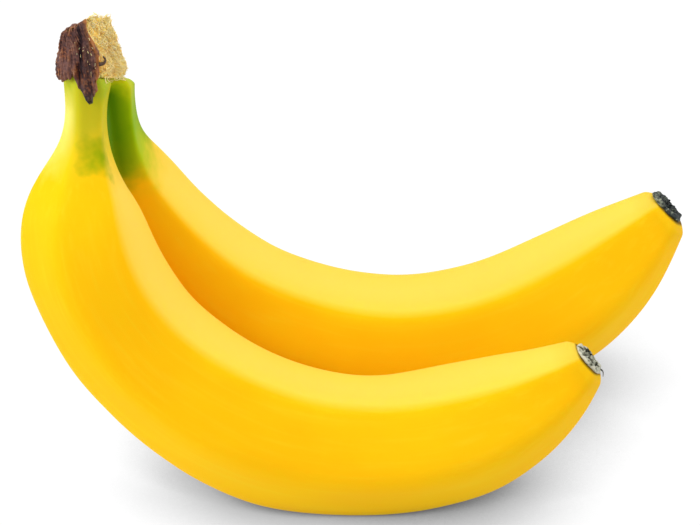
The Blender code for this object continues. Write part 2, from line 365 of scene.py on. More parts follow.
def grow_fruit(which):
    rows = lines[which]
    centres = rows[:, :3]
    ways, sides, hollows = frame_along(centres)
    distance = np.concatenate([[0], np.cumsum(np.linalg.norm(np.diff(centres, axis=0), axis=1))])
    to_end = np.minimum(distance, distance[-1] - distance)
    roundings = 1 - END_DIP * np.maximum(0, 1 - to_end / END_LENGTH) ** 2

    def place_ring(shape, ring, corners, shares):
        straight = shape.verts.layers.float_vector["straight"]
        neck, tip = (shape.verts.layers.float[name] for name in ("neck", "tip"))
        turns = shares * 360
        centre, turn = centres[ring], rows[ring, 4]
        radii = rows[ring, 3] * roundings[ring] * ridged_section(turns, RIDGES[which])
        off = np.abs((turns + turn - SAG_ANGLE + 180) % 360 - 180)
        radii += SAG * np.exp(-((off / SAG_SPREAD) ** 2) - ((centre[0] - SAG_X[which]) / SAG_LENGTH) ** 2)
        angles = np.radians(turns + turn)
        out = np.cos(angles)[:, None] * hollows[ring] + np.sin(angles)[:, None] * sides[ring]
        points = centre + radii[:, None] * out
        fade = min(1.0, rows[ring, 3] / UNEVEN_FROM_RADIUS)
        points += out * np.array([[wave(point, UNEVEN_SIZE, UNEVEN_DEPTH * fade)] for point in points])
        lean = max(0.0, 1 - (rows[0, 2] - centre[2]) / SHEAR_LENGTH)
        slanted = centre[2] + neck_end_height(points[:, 0], points[:, 1])
        slanted -= neck_end_height(centre[0], centre[1])
        points[:, 2] += lean * (slanted - points[:, 2])
        points[:, 2] = np.maximum(points[:, 2], 0)
        for corner, point, angle, radius in zip(corners, points + SHIFT, np.radians(turns), radii):
            corner.co = point
            flat = (math.cos(angle) * radius, math.sin(angle) * radius, distance[ring])
            corner[straight] = Vector(flat) * MM
            corner[neck] = distance[ring] * MM
            corner[tip] = (distance[-1] - distance[ring]) * MM

    shape = grow_tube(FRUIT_SIDES, RINGS, place_ring, ("neck", "tip"), ("straight",))
    close_ends(shape)
    return shape


print("each fruit gets", RINGS, "rings of", FRUIT_SIDES, "corners")

# %% [markdown]
# ## Ripe peel
# Peel is a thin waxy skin over pale flesh. Three things make it look right. Light goes a little way in and
# comes out warmer, which is why the shaded side of a banana is orange and not grey: that is subsurface
# scattering, with red going furthest. The wax gives a wide soft shine, so the roughness is middling and the
# specular level low. And the colour changes along the fruit, from green at the neck to yellow, with a faint
# streakiness that follows the fibres.
#
# The colour is worked out from the straightened place, so both fruits share the recipe. The face in the
# hollow of the bend is painted paler than the others, up to the ridges on both sides of it: a painted sheen,
# the shine of the light above. The side of the neck away from the hollow is painted as well: paler on the
# front fruit, which is painted light, and dark green on the rear one, a darker green with painted shade over
# it. Each neck has a green blot where it widens.

# %% Peel materials
YELLOW = (0.93, 0.545, 0.004)
WARM_YELLOW = (0.94, 0.49, 0.003)
STREAK_YELLOW = (0.93, 0.62, 0.02)
# Painted sheen: the paler yellow of the face in the hollow of the bend.
SHEEN_YELLOW = (0.93, 0.63, 0.075)
BLOT_GREEN = (0.29, 0.36, 0.002)
END_OLIVE = (0.55, 0.38, 0.006)
RING_BROWN = (0.16, 0.09, 0.006)
PEEL_SCATTER, SCATTER_REACH, SCATTER_SHARE = (1.0, 0.42, 0.06), 0.004, 0.22
GREEN_LENGTH, WANDER = 0.05, 0.016
END_TINT_LENGTH, RING_LENGTH = 0.009, 0.001


def make_peel(name, sheen_middle, sheen_half, green_stops, side_light_shade_colour, side_light_shade_stops, side_light_shade_edge, blot):
    made, tree, shader = new_material(
        name,
        Roughness=0.5,
        Specular_IOR_Level=0.02,
        Subsurface_Weight=SCATTER_SHARE,
        Subsurface_Radius=PEEL_SCATTER,
        Subsurface_Scale=SCATTER_REACH,
    )
    place = node(tree, "Attribute", attribute_name="straight").outputs["Vector"]
    neck, tip = stored(tree, "neck"), stored(tree, "tip")

    clouds = grain(tree, place, 22, detail=2, stretch=(1, 1, 0.45))
    streaks = grain(tree, place, 1.6, detail=4, stretch=(1, 1, 0.05))
    skin = blend(tree, ramp(tree, clouds, ((0.35, 0.0), (0.68, 1.0))), WARM_YELLOW, YELLOW)
    skin = blend(tree, ramp(tree, streaks, ((0.5, 0.0), (0.8, 0.35))), skin, STREAK_YELLOW)

    flat = node(tree, "VectorMath", {0: place, 1: (1, 1, 0)}, operation="MULTIPLY").outputs[0]
    outward = node(tree, "VectorMath", {0: flat}, operation="NORMALIZE").outputs[0]
    # The face in the hollow of the bend gets painted sheen: a paler yellow that stands in for the light
    # above.
    middle = (math.cos(math.radians(sheen_middle)), math.sin(math.radians(sheen_middle)), 0)
    facing = measure(tree, "DOT_PRODUCT", outward, middle)
    edge = math.cos(math.radians(sheen_half))
    pale = ramp(tree, facing, ((edge - 0.05, 0.0), (edge + 0.05, 0.8), (1.0, 1.0)))
    skin = blend(tree, pale, skin, SHEEN_YELLOW)

    wander = calculate(tree, "SUBTRACT", grain(tree, place, 9, detail=3), 0.5)
    wander = calculate(tree, "MULTIPLY", wander, WANDER)
    share = calculate(tree, "DIVIDE", calculate(tree, "ADD", neck, wander), GREEN_LENGTH)
    green = ramp(tree, share, tuple((stop, colour) for stop, colour, _ in green_stops))
    amount = ramp(tree, share, tuple((stop, cover) for stop, _, cover in green_stops))
    skin = blend(tree, amount, skin, green)
    # The side of the neck away from the hollow gets painted light on the front fruit and painted shade over a
    # darker green on the rear one.
    aside = measure(tree, "DOT_PRODUCT", outward, (-1, 0, 0))
    aside = calculate(tree, "MULTIPLY", calculate(tree, "ADD", aside, 1.0), 0.5)
    shaded = calculate(tree, "MULTIPLY", ramp(tree, share, side_light_shade_stops), ramp(tree, aside, side_light_shade_edge))
    skin = blend(tree, shaded, skin, side_light_shade_colour)
    spot, size, cover = blot
    away = measure(tree, "DISTANCE", place, [value * MM for value in spot])
    away = calculate(tree, "DIVIDE", calculate(tree, "ADD", away, wander), size * MM)
    skin = blend(tree, ramp(tree, away, ((0.3, cover), (1.0, 0.0))), skin, BLOT_GREEN)

    end = ramp(tree, calculate(tree, "DIVIDE", tip, END_TINT_LENGTH), ((0.10, 0.30), (0.8, 0.0)))
    skin = blend(tree, end, skin, END_OLIVE)
    ring = ramp(tree, calculate(tree, "DIVIDE", tip, RING_LENGTH), ((0.15, 1.0), (0.6, 0.0)))
    skin = blend(tree, ring, skin, RING_BROWN)
    tree.links.new(skin, shader.inputs["Base Color"])

    pores = grain(tree, place, 0.7, detail=2, stretch=(1, 1, 0.5))
    bump(tree, shader, add_shares(tree, streaks, 0.6, pores, 0.4), 0.05, 0.35)
    return made


front_peel = make_peel(
    "front_peel_finish",
    sheen_middle=-17,
    sheen_half=43,
    green_stops=(
        (0.00, (0.36, 0.45, 0.020), 1.0),
        (0.10, (0.47, 0.48, 0.014), 0.95),
        (0.25, (0.58, 0.51, 0.018), 0.90),
        (0.45, (0.72, 0.55, 0.010), 0.7),
        (0.62, (0.90, 0.56, 0.006), 0.0),
    ),
    # Painted light on the side of the front neck.
    side_light_shade_colour=(0.86, 0.80, 0.20),
    side_light_shade_stops=((0.05, 0.0), (0.2, 0.7), (0.4, 0.45), (0.6, 0.0)),
    side_light_shade_edge=((0.51, 0.0), (0.80, 1.0)),
    blot=((8.2, 3.5, 20.5), 7.5, 1.0),
)
rear_peel = make_peel(
    "rear_peel_finish",
    sheen_middle=-13,
    sheen_half=47,
    green_stops=(
        (0.00, (0.46, 0.50, 0.006), 1.0),
        (0.08, (0.34, 0.48, 0.002), 1.0),
        (0.26, (0.24, 0.42, 0.001), 1.0),
        (0.50, (0.42, 0.52, 0.006), 1.0),
        (0.76, (0.80, 0.54, 0.005), 0.0),
    ),
    # A darker green with painted shade over it, on the side of the rear neck.
    side_light_shade_colour=(0.088, 0.220, 0.0008),
    side_light_shade_stops=((0.03, 0.0), (0.12, 1.0), (0.46, 0.92), (0.68, 0.0)),
    side_light_shade_edge=((0.05, 0.0), (0.22, 0.55), (0.42, 1.0)),
    blot=((-6.0, 4.0, 26.0), 9.0, 0.5),
)

finish_piece(grow_fruit("front"), "front_fruit", front_peel, ["front_banana"])
finish_piece(grow_fruit("rear"), "rear_fruit", rear_peel, ["rear_banana"])

# %% [markdown]
# ## The crown's outline
# The crown is what is left of the thick stalk that carried the whole row of fruits. Level cuts through it
# are rounded boxes that get narrower towards the top, where it was torn off along an edge. An angle round it
# starts at the rear neck, so 90 degrees is the bare side on the right, 180 is over the front neck, and 270 is
# the back.

# %% Crown outline
CROWN_CUTS = (
    (104.0, -64.9, 23.1, 11.5, 7.5),
    (113.0, -64.9, 23.1, 11.5, 7.5),
    (117.0, -65.8, 23.1, 10.8, 7.2),
    (122.0, -66.4, 23.4, 9.1, 5.6),
    (127.0, -66.9, 23.5, 7.9, 4.2),
    (131.0, -67.0, 23.8, 8.4, 1.8),
    (134.0, -67.0, 24.0, 8.2, 1.5),
)
CROWN_SQUARENESS = 2.5
CROWN_THINNEST = 0.7
LEFT_TUCK, LEFT_ANGLE, LEFT_SPREAD = 0.7, 218, 34
CROWN_TOP = 129.8
TOP_SLOPE = 0.22
TOP_LEAN = 0.68


def crown_outline(angle, height, grow):
    table = np.array(CROWN_CUTS)
    x, y, length, width = (np.interp(height, table[:, 0], table[:, i]) for i in range(1, 5))
    cosine, sine = math.cos(math.radians(angle)), math.sin(math.radians(angle))
    power = 2 / CROWN_SQUARENESS
    grow -= LEFT_TUCK * math.exp(-(((angle % 360 - LEFT_ANGLE) / LEFT_SPREAD) ** 2))
    ahead = math.copysign(abs(cosine) ** power, cosine) * max(CROWN_THINNEST, length + grow)
    aside = math.copysign(abs(sine) ** power, sine) * max(CROWN_THINNEST, width + grow)
    flat = np.array([x, y]) + ahead * row_way + aside * cross_way
    return np.array([flat[0], flat[1], height])


def crown_top(angle):
    """Height of the torn top, which falls towards the rear fruit and towards the back."""
    spot = crown_outline(angle, CROWN_TOP, 0)[:2] - neck_middle
    return CROWN_TOP - TOP_SLOPE * float(spot @ row_way) + TOP_LEAN * float(spot @ cross_way)


print("crown top from", round(crown_top(0), 1), "to", round(crown_top(180), 1), "mm")

# %% [markdown]
# ## Dried rind
# Round the back, the left and the front of the crown the skin has dried to a brown bark. It is a bent plate,
# so it starts as a flat grid, whose two directions become the way round and the way up. It has a long fold
# in front, wrinkles of several sizes, a frayed lower edge, and a pointed tongue over the front neck. Where
# the bark has split, faces are taken out of the grid before it gets its thickness.

# %% Rind shape
RIND_AROUND, RIND_UP = 210, 84
RIND_THICKNESS, RIND_EDGE = 1.4, 0.45
LOWER_EDGE = (
    (104, 117.5), (127, 116.4), (138, 114.8), (148, 112.4), (154, 115.2), (161, 117.2),
    (168, 119.0), (172, 120.2), (178, 119.2), (188, 117.7), (202, 117.6), (224, 116.6),
    (238, 117.6), (262, 117.4), (290, 115.2), (318, 113.4), (340, 113.8),
)
RIND_START = (
    (0.0, 128), (0.12, 127), (0.2, 117), (0.34, 113),
    (0.5, 106), (0.6, 110), (0.8, 112), (1.0, 106),
)
RIND_STOP = ((0.0, 318), (0.3, 326), (0.6, 316), (1.0, 328))
FOLD = ((113, 151), (118, 145), (121, 142), (124, 138), (127, 134), (130, 119))
GROOVE_OFF, GROOVE_WIDTH = 13, 5
BAND_OFF, BAND_WIDTH = 1, 9
TONGUE, TONGUE_WIDTH = 148, 12
BULGE, BULGE_WIDTH = 228, 15
FOLD_RISE, FOLD_WIDTH = 1.0, 8
DIP_DEPTH, DIP_OFF, DIP_WIDTH = 0.8, 15, 7
RIM_SHARE = 0.07
RIND_HIGHEST = 132.4
TOP_EXTRA = ((104, 1.4), (120, 1.2), (132, 0.2), (185, 0.1), (200, 1.1), (214, 1.0), (232, 0.0))
SPLITS = ((226, 121.0, 7, 0.3), (171, 121.0, 1.2, 1.2), (296, 116.4, 1.6, 2.0))
RIND_MARKS = ("groove", "band", "rim", "point")


def read(table, at):
    return np.interp(at, *np.transpose(table))


def hump(off, width):
    """One where off is zero, falling softly to nothing on both sides."""
    return math.exp(-((off / width) ** 2))


def rind_point(share, lift, outside):
    """A place on the rind's inside or outside, with its angle and height."""
    start, stop = read(RIND_START, lift), read(RIND_STOP, lift)
    angle = start + share * (stop - start)
    low = read(LOWER_EDGE, angle) + wave((angle / 5, 0, 1), 1.0, 0.9) + wave((angle / 1.6, 4, 1), 1.0, 0.35)
    top = crown_top(angle) + wave((angle / 12, 3, 5), 1.0, 1.4) + wave((angle / 3, 3, 8), 1.0, 0.3)
    top = min(top + read(TOP_EXTRA, angle), RIND_HIGHEST)
    height = low + lift * (top - low)
    if not outside:
        return crown_outline(angle, height, 0.0), angle, height
    edge = min(1.0, lift / 0.12, (1 - lift) / 0.06, share / 0.04, (1 - share) / 0.04)
    thickness = RIND_EDGE + (RIND_THICKNESS - RIND_EDGE) * edge**0.5
    beside = angle - read(FOLD, height)
    fold = FOLD_RISE * hump(beside, FOLD_WIDTH) - DIP_DEPTH * hump(beside - DIP_OFF, DIP_WIDTH)
    spot = crown_outline(angle, height, 0)
    wrinkles = wave((angle / 9, height / 7, 0), 1.0, 0.7) + wave((angle / 3.2, height / 3.5, 2), 1.0, 0.4)
    wrinkles += wave(spot, 0.9, 0.28) + wave(spot, 0.4, 0.14)
    return crown_outline(angle, height, thickness + (fold + wrinkles) * edge), angle, height


def grow_rind():
    shape = bmesh.new()
    groove, band, rim, point = (shape.verts.layers.float.new(name) for name in RIND_MARKS)
    grid = bmesh.ops.create_grid(shape, x_segments=RIND_AROUND, y_segments=RIND_UP, size=0.5)["verts"]
    flat = {corner: (corner.co.x + 0.5, corner.co.y + 0.5) for corner in grid}
    torn = []
    for face in shape.faces:
        middle = face.calc_center_median()
        _, angle, height = rind_point(middle.x + 0.5, middle.y + 0.5, False)
        if any(abs(angle - at) / wide + abs(height - up) / tall < 1 for at, up, wide, tall in SPLITS):
            torn.append(face)
    bmesh.ops.delete(shape, geom=torn, context="FACES")
    made = bmesh.ops.extrude_face_region(shape, geom=shape.faces[:])["geom"]
    for corner in pick(made, bmesh.types.BMVert):
        corner.co = rind_point(corner.co.x + 0.5, corner.co.y + 0.5, False)[0] + SHIFT
    for corner, (share, lift) in flat.items():
        if corner.is_valid:
            spot, angle, height = rind_point(share, lift, True)
            corner.co = spot + SHIFT
            beside = angle - read(FOLD, height)
            corner[groove] = hump(beside - GROOVE_OFF, GROOVE_WIDTH) * min(1, lift * 2)
            corner[band] = hump(beside - BAND_OFF, BAND_WIDTH)
            corner[rim] = max(0, 1 - share / RIM_SHARE)
            corner[point] = max(0, 1 - lift / 0.25) * hump(angle - TONGUE, TONGUE_WIDTH)
            corner[point] += 0.8 * max(0, 1 - lift / 0.4) * hump(angle - BULGE, BULGE_WIDTH)
    bmesh.ops.recalc_face_normals(shape, faces=shape.faces[:])
    return shape


print("the rind's grid has", RIND_AROUND, "by", RIND_UP, "faces")

# %% [markdown]
# ## Bark brown
# The rind isn't one brown. It is nearly black with a touch of purple in the hollows, red brown on the raised
# parts, purple grey where it is dusty, and orange brown along its torn edge. One noise chooses between the
# browns, a second one lays the dust, and how far a place sticks out shifts the choice, which Blender can tell
# from the bend of the surface, called pointiness: the darker hollows are painted shade, and the raised parts
# are painted lighter. The groove beside the fold, the dark band on the fold, the torn edge and the black
# point of the tongue are where the shape says they are: the mesh keeps a number for each. The recipe then
# lays one colour over another, each where its mask lets it show.

# %% Rind material
BROWN_TONES = (
    (0.34, (0.008, 0.003, 0.005)),
    (0.43, (0.040, 0.012, 0.011)),
    (0.51, (0.120, 0.034, 0.018)),
    (0.59, (0.230, 0.075, 0.024)),
    (0.72, (0.380, 0.190, 0.100)),
)
DUST_GREY, BAND_BROWN, EDGE_ORANGE = (0.130, 0.062, 0.056), (0.026, 0.008, 0.008), (0.420, 0.140, 0.016)
GROOVE_BLACK, POINT_BLACK = (0.012, 0.004, 0.007), (0.010, 0.010, 0.013)

rind_finish, tree, shader = new_material("rind_finish", Roughness=0.5, Specular_IOR_Level=0.2)
place = node(tree, "TexCoord").outputs["Object"]
patches = grain(tree, place, 4.2, detail=5, roughness=0.62)
dust = grain(tree, place, 3.1, detail=2, stretch=(1, 1, 0.7))
fine = grain(tree, place, 0.8, detail=4, roughness=0.65)
groove, band, rim, point = (stored(tree, name) for name in RIND_MARKS)
# Pointiness pushes the hollows towards the darkest browns, as painted shade, and the raised parts towards the
# lighter ones.
mixed = calculate(tree, "ADD", add_shares(tree, patches, 0.66, fine, 0.34), sticking_out(tree, 2.4))
browns = ramp(tree, mixed, BROWN_TONES)
dusty = ramp(tree, dust, ((0.45, 0.0), (0.57, 0.80)))
dusty = calculate(tree, "MULTIPLY", dusty, ramp(tree, fine, ((0.3, 0.3), (0.6, 1.0))))
shaded = ramp(tree, band, ((0.2, 0.0), (0.8, 0.85)))
shaded = calculate(tree, "MULTIPLY", shaded, ramp(tree, fine, ((0.42, 1.0), (0.66, 0.35))))
torn_edge = calculate(tree, "MULTIPLY", rim, ramp(tree, patches, ((0.40, 0.2), (0.55, 1.0))))
for mask, colour in (
    (dusty, DUST_GREY),
    (shaded, BAND_BROWN),
    (torn_edge, EDGE_ORANGE),
    (ramp(tree, groove, ((0.25, 0.0), (0.8, 0.92))), GROOVE_BLACK),
    (ramp(tree, point, ((0.15, 0.0), (0.55, 0.9))), POINT_BLACK),
):
    browns = blend(tree, mask, browns, colour)
tree.links.new(browns, shader.inputs["Base Color"])
tree.links.new(ramp(tree, fine, ((0.3, 0.36), (0.7, 0.68))), shader.inputs["Roughness"])
bump(tree, shader, calculate(tree, "ADD", fine, patches), 0.35, 0.7)

finish_piece(grow_rind(), "brown_rind", rind_finish, ["crown_rind"])

# %% [markdown]
# ## Torn pith
# On the right the next fruit was torn off, which bared the soft inside of the crown: a wad of pale fibres.
# The wad itself is one more tube of rings, whose surface is very rough on the torn side and smooth where the
# rind covers it.

# %% Pith shape
PITH_SIDES, PITH_RINGS = 150, 60
PITH_FOOT = 113.5
PITH_INSET, TORN_INSET = 0.5, 0.9
FOOT_TUCK, TORN_TUCK = 1.2, 2.0
COVERED_DROP = 0.8
PEAK, PEAK_ANGLE, PEAK_SPREAD = 2.0, 99, 21
PITH_HIGHEST = 131.7
GAP = 0.3
TORN_FROM, TORN_TO = -15, 128


def pith_point(angle, lift, extra=0.0):
    """A place on the wad, at a share of its height, moved outwards by an extra."""
    turned = min((angle - TORN_FROM) % 360, TORN_TO - TORN_FROM)
    torn = math.sin(math.pi * turned / (TORN_TO - TORN_FROM))
    top = crown_top(angle) - PITH_INSET - COVERED_DROP * (1 - torn)
    top += torn * wave((angle / 9, 1, 2), 1.0, 0.4)
    top += PEAK * hump(angle - PEAK_ANGLE, PEAK_SPREAD)
    top = min(top, PITH_HIGHEST)
    tuck = FOOT_TUCK * max(0, 1 - lift / 0.2) + TORN_TUCK * torn * (1 - lift)
    rough = torn * (wave((angle / 7, lift * 3.5, 7), 1.0, 1.5) - GAP - TORN_INSET * (1 - lift**3))
    height = PITH_FOOT
    for _ in range(3):
        point = crown_outline(angle, height, rough - tuck - PITH_INSET + extra)
        low = neck_end_height(point[0], point[1]) + GAP
        height = low + lift * (top - low)
    spot = np.array([point[0], point[1], height])
    shag = torn * (wave(spot * (1, 1, 0.5), 1.3, 0.6) + wave(spot * (1, 1, 0.4), 0.6, 0.25))
    turn = math.radians(angle)
    spot[:2] += (cross_way * math.sin(turn) + row_way * math.cos(turn)) * shag
    return spot


def place_pith(shape, ring, corners, shares):
    for corner, share in zip(corners, shares):
        corner.co = pith_point(share * 360, ring / (PITH_RINGS - 1)) + SHIFT


pith = grow_tube(PITH_SIDES, PITH_RINGS, place_pith)
close_ends(pith)
print("the wad has", PITH_RINGS, "rings of", PITH_SIDES, "corners")

# %% [markdown]
# ## Fibres
# What makes the torn side look torn is hundreds of loose fibres that stand out of it. They could be hair
# particles, but a printed or exported part needs real faces. So one straight strand is made first, a cone of
# four sides cut into short lengths, and copies of it are laid along bent lines. Each copy keeps a tone of its
# own, for the colour.

# %% One straight strand, and how a copy of it is laid along a line
STRAND_STEPS = 8
STRAND_SHARES = np.linspace(0, 1, STRAND_STEPS + 1)


def start_strands():
    """A mesh that holds one straight strand, one long and one thick, and its parts."""
    shape = bmesh.new()
    shape.verts.layers.float.new("tone")
    bmesh.ops.create_cone(shape, cap_ends=True, segments=4, radius1=1, radius2=0.3, depth=1)
    upright = [edge for edge in shape.edges if abs(edge.verts[0].co.z - edge.verts[1].co.z) > 0.5]
    bmesh.ops.subdivide_edges(shape, edges=upright, cuts=STRAND_STEPS - 1, use_grid_fill=True)
    return shape, shape.verts[:] + shape.edges[:] + shape.faces[:]


def lay_strand(shape, straight, points, thick, broad=1.0, tone=0.5):
    """Lays a copy of the straight strand along points, so thick, and so many times as broad."""
    copied = bmesh.ops.duplicate(shape, geom=straight)["geom"]
    layer = shape.verts.layers.float["tone"]
    earlier, later = [points[0]] + points[:-1], points[1:] + [points[-1]]
    ways = [(after - before).normalized() for before, after in zip(earlier, later)]
    across = ways[0].orthogonal()
    for corner in pick(copied, bmesh.types.BMVert):
        step = round((corner.co.z + 0.5) * STRAND_STEPS)
        way = ways[step]
        side = (across - way * across.dot(way)).normalized()
        off = side * corner.co.x * thick * broad + way.cross(side) * corner.co.y * thick
        corner.co = points[step] + off
        corner[layer] = tone


def finish_strands(shape, straight):
    """Takes the straight strand out again, once all copies of it are laid."""
    bmesh.ops.delete(shape, geom=pick(straight, bmesh.types.BMVert), context="VERTS")
    bmesh.ops.recalc_face_normals(shape, faces=shape.faces[:])


print("a strand has", STRAND_STEPS, "steps")

# %% [markdown]
# Now the strands are laid. Each one starts at a random place of the torn side, creeps over the wad and lifts
# off it towards its end, and those near the top stand up beyond it. Starts, lengths and curls come from a
# random generator with a fixed seed, so that the lesson gives the same crown every time.

# %% Fibres on the torn side
FIBRES = 760
WAD_HEIGHT, OVER_TOP = 18, 7
random.seed(7)


def fibre_line(angle, lift, length, lean, stand):
    """A line that creeps over the pith from a place on it, leans sideways and lifts off at its end."""
    points = []
    for share in STRAND_SHARES:
        turn = angle + lean * length * share * 7 + 5 * math.sin(share * 5 + angle)
        climb = lift + length * share * math.cos(lean) / WAD_HEIGHT
        point = pith_point(turn, min(1.0, climb), stand * share**1.5 + 0.05)
        point[2] += max(0.0, climb - 1) * OVER_TOP
        points.append(Vector(point + SHIFT))
    return points


fibres, straight = start_strands()
for _ in range(FIBRES):
    angle = random.uniform(TORN_FROM + 12, TORN_TO - 2)
    lift = random.uniform(0.0, 0.95)
    line = fibre_line(angle, lift, random.uniform(1.5, 5.5), random.gauss(0, 0.55), random.uniform(0.05, 0.8))
    lay_strand(fibres, straight, line, random.uniform(0.07, 0.17), random.uniform(1, 2.2), random.random())
finish_strands(fibres, straight)
print(FIBRES, "fibres are laid")

# %% [markdown]
# ## Straw colours
# The fibres go from golden to nearly white, with golden patches on the crown, and the bare right side is
# painted paler, as painted light from the right. The wad takes its tones from noise alone, and each strand
# adds a tone of its own, so the strands stand out against it. Pale plant matter lets light through, so both
# get some subsurface scattering.

# %% Pith materials
STRAW_TONES = (
    (0.11, (0.72, 0.36, 0.040)),
    (0.18, (1.00, 0.62, 0.110)),
    (0.30, (1.00, 0.75, 0.200)),
    (0.52, (1.00, 0.88, 0.420)),
)
PITH_LOW, GOLDEN_HEIGHT = 0.113, 0.012
# Where the straw starts to be painted paler towards the right, as painted light.
LIT_FROM, LIT_WIDTH = -0.0675, 0.0085


def make_straw(name, own_tone):
    made, tree, shader = new_material(
        name,
        Roughness=0.72,
        Specular_IOR_Level=0.25,
        Subsurface_Weight=0.3,
        Subsurface_Radius=(1.0, 0.6, 0.25),
        Subsurface_Scale=0.0015,
        Sheen_Weight=0.6,
        Sheen_Tint=(1.0, 0.85, 0.55, 1),
    )
    place = node(tree, "TexCoord").outputs["Object"]
    fine = grain(tree, place, 0.9, detail=4, stretch=(1, 1, 0.35))
    if own_tone:
        tone = add_shares(tree, stored(tree, "tone"), 0.45, fine, 0.30)
    else:
        tone = calculate(tree, "MULTIPLY", fine, 0.55)
    straw = ramp(tree, tone, STRAW_TONES)
    patches = grain(tree, place, 4.6, detail=2)
    parts = node(tree, "SeparateXYZ", {"Vector": place})
    level = calculate(tree, "SUBTRACT", parts.outputs["Z"], PITH_LOW)
    level = calculate(tree, "DIVIDE", level, GOLDEN_HEIGHT)
    golden = ramp(tree, level, ((0.1, 0.2), (0.35, 0.75), (0.7, 0.7), (1.0, 0.1)))
    golden = calculate(tree, "MULTIPLY", ramp(tree, patches, ((0.40, 0.1), (0.58, 1.0))), golden)
    straw = blend(tree, golden, straw, (0.98, 0.46, 0.030))
    # Towards the right the straw is painted paler: painted light.
    side = calculate(tree, "SUBTRACT", parts.outputs["X"], LIT_FROM)
    lit_right = ramp(tree, calculate(tree, "DIVIDE", side, LIT_WIDTH), ((0.0, 0.0), (1.0, 0.55)))
    straw = blend(tree, lit_right, straw, (1.0, 0.78, 0.26))
    tree.links.new(straw, shader.inputs["Base Color"])
    bump(tree, shader, fine, 0.1, 0.3)
    return made


wad_finish = make_straw("torn_pith_finish", False)
fibre_finish = make_straw("fibre_finish", True)
finish_piece(pith, "torn_pith", wad_finish, ["crown_pith"])
finish_piece(fibres, "pith_fibres", fibre_finish, ())

# %% [markdown]
# ## Loose bits
# Small things make the crown believable. A dark hooked end stands off the rind's torn edge, pale crumbs of
# fibre stick to the dark band, and a few threads have curled over the rear neck. They are strands again, and
# the shape functions from above tell where the surface is.

# %% Hook, crumbs and curled threads
CRUMBS, THREADS = 16, 14
CRUMB_OFF = 0.12
HOOK_THICK = 0.48


def off_crown(spot, off):
    """The same spot, moved away from the crown's middle."""
    away = Vector((*(spot[:2] - np.array(CROWN_CUTS[2][1:3])), 0)).normalized()
    return Vector(spot + SHIFT) + away * off


loose, straight = start_strands()
for _ in range(CRUMBS):
    share, lift = random.uniform(0.03, 0.26), random.uniform(0.12, 0.9)
    drift, rise = random.uniform(-0.008, 0.008), random.uniform(-0.06, 0.06)
    line = []
    for step in STRAND_SHARES:
        spot = rind_point(share + drift * step, lift + rise * step, True)[0]
        line.append(off_crown(spot, CRUMB_OFF))
    lay_strand(loose, straight, line, random.uniform(0.05, 0.09), 1.5, random.uniform(0.5, 1.0))
for _ in range(THREADS):
    angle, curl = random.uniform(35, 95), random.uniform(2.0, 5.0)
    reach, drop = random.uniform(0.8, 2.2), random.uniform(0.1, 0.9)
    line = []
    for step in STRAND_SHARES:
        spot = pith_point(angle + 9 * math.sin(step * curl), 0.02, 0.2)
        upward = 0.4 * math.sin(step * 6) - drop * step**2
        line.append(off_crown(spot, reach * step) + Vector((0, 0, upward)))
    lay_strand(loose, straight, line, random.uniform(0.07, 0.11), 1.4, random.uniform(0.5, 1.0))
finish_strands(loose, straight)
finish_piece(loose, "loose_threads", fibre_finish, ())

hook, straight = start_strands()
line = []
for step in STRAND_SHARES:
    angle, height = 117 - 12 * math.sin(step * 1.9), 122.4 + 1.4 * step**2
    spot = crown_outline(angle, height, 1.5 + 0.7 * math.sin(step * 3))
    line.append(Vector(spot + SHIFT))
lay_strand(hook, straight, line, HOOK_THICK, 1.2)
finish_strands(hook, straight)
hook_finish, _, _ = new_material("hook_finish", Roughness=0.5, Base_Color=(0.055, 0.020, 0.008, 1))
finish_piece(hook, "rind_hook", hook_finish, ())

# %% [markdown]
# ## Dried cups
# Where the flower sat, each fruit ends in a small dried cup. It is a tube again: up the outside, over a rim,
# and down into a shallow hollow, crumpled by noise. Scraps of the dried flower stand on the rim: short broad
# strands.

# %% Cup shapes
CUP_SIDES = 96
CUP_SINK = 0.35
CUP_ASIDE = {"front": 0.0, "rear": 0.5}
CUP_PROFILE = (
    (0.80, 0.0), (0.92, 0.08), (1.0, 0.22), (1.03, 0.38), (1.03, 0.55), (0.99, 0.75),
    (0.93, 0.92), (0.86, 1.0), (0.78, 1.0), (0.70, 0.90), (0.62, 0.78), (0.48, 0.62),
    (0.34, 0.5), (0.15, 0.45),
)


def cup_frame(which):
    centres = lines[which][:, :3]
    ways, sides, hollows = frame_along(centres)
    return centres[-1] + hollows[-1] * CUP_ASIDE[which], ways[-1], sides[-1], hollows[-1]


def grow_cup(which, radius, height, seed, crumple):
    end, way, side, hollow = cup_frame(which)

    def place_ring(shape, ring, corners, shares):
        upward = shape.verts.layers.float["upward"]
        share, rise = CUP_PROFILE[ring]
        for corner, turn in zip(corners, shares * 2 * math.pi):
            cosine, sine = math.cos(turn), math.sin(turn)
            broad = wave((cosine * 1.6 + seed, sine * 1.6, rise), 1.0, 1.0)
            crease = abs(wave((cosine * 3 + seed, sine * 3, rise * 1.5 + share * 3), 1.0, 1.0))
            fine = wave((cosine * 9 + seed, sine * 9, rise * 2 + share * 6), 1.0, 0.4)
            creased = crumple * (2 * crease + fine)
            out = radius * share * (1 + (0.16 * broad - creased) * min(1, 3 * rise))
            up = height * rise * (1 + 0.45 * broad - 3 * creased) - CUP_SINK
            corner.co = end + way * up + (cosine * hollow + sine * side) * out + SHIFT
            corner[upward] = cosine

    shape = grow_tube(CUP_SIDES, len(CUP_PROFILE), place_ring, ("upward",))
    close_ends(shape)
    return shape


